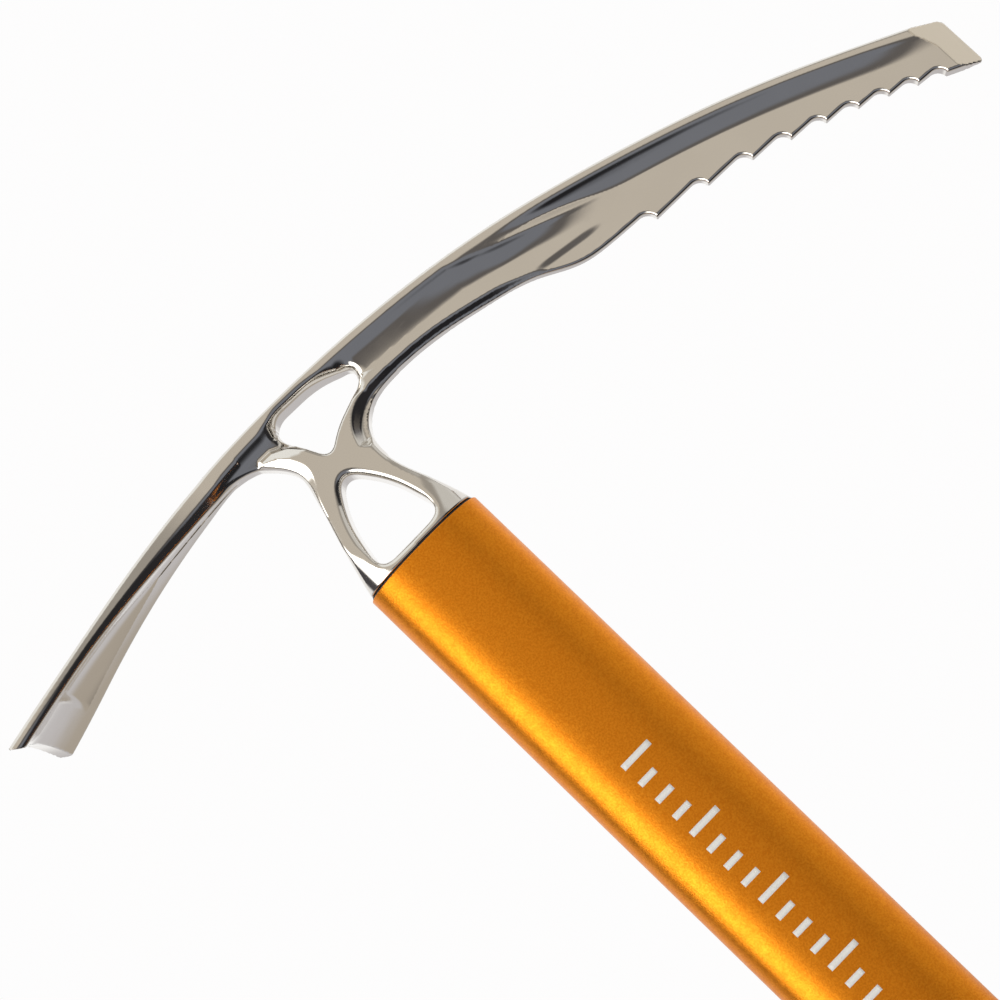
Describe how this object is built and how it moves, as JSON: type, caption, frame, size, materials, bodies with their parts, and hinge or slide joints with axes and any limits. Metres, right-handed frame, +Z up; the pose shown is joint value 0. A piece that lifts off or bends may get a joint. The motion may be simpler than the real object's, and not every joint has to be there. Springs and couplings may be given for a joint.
{
  "type": "ice axe",
  "caption": "Mountaineering ice axe: cast steel head with curved toothed pick, flared adze and windowed neck, oval aluminium shaft, steel spike with carabiner eye.",
  "frame": {"origin": "on the shaft's axis at the lower rim of the head's collar, where a hand closes round the neck", "axes": "+Z up the shaft towards the head, +X towards the pick, -X towards the adze, symmetrical about Y = 0"},
  "size_m": [0.253, 0.05, 0.6001],
  "materials": {
    "polished_steel": "polished stainless casting",
    "anodised_shaft": "bead-blasted, orange anodised",
    "black_seal": "matt",
    "adhesive": "cured epoxy",
    "pin_steel": "satin"
  },
  "bodies": {
    "root": {"head": "polished_steel", "head_joint_seal": "black_seal", "head_bond_sleeve": "adhesive", "head_cross_pin": "pin_steel", "shaft_tube": "anodised_shaft", "spike_cross_pin": "pin_steel", "spike_bond_sleeve": "adhesive", "spike_joint_seal": "black_seal", "spike": "polished_steel"}
  },
  "joints": []
}
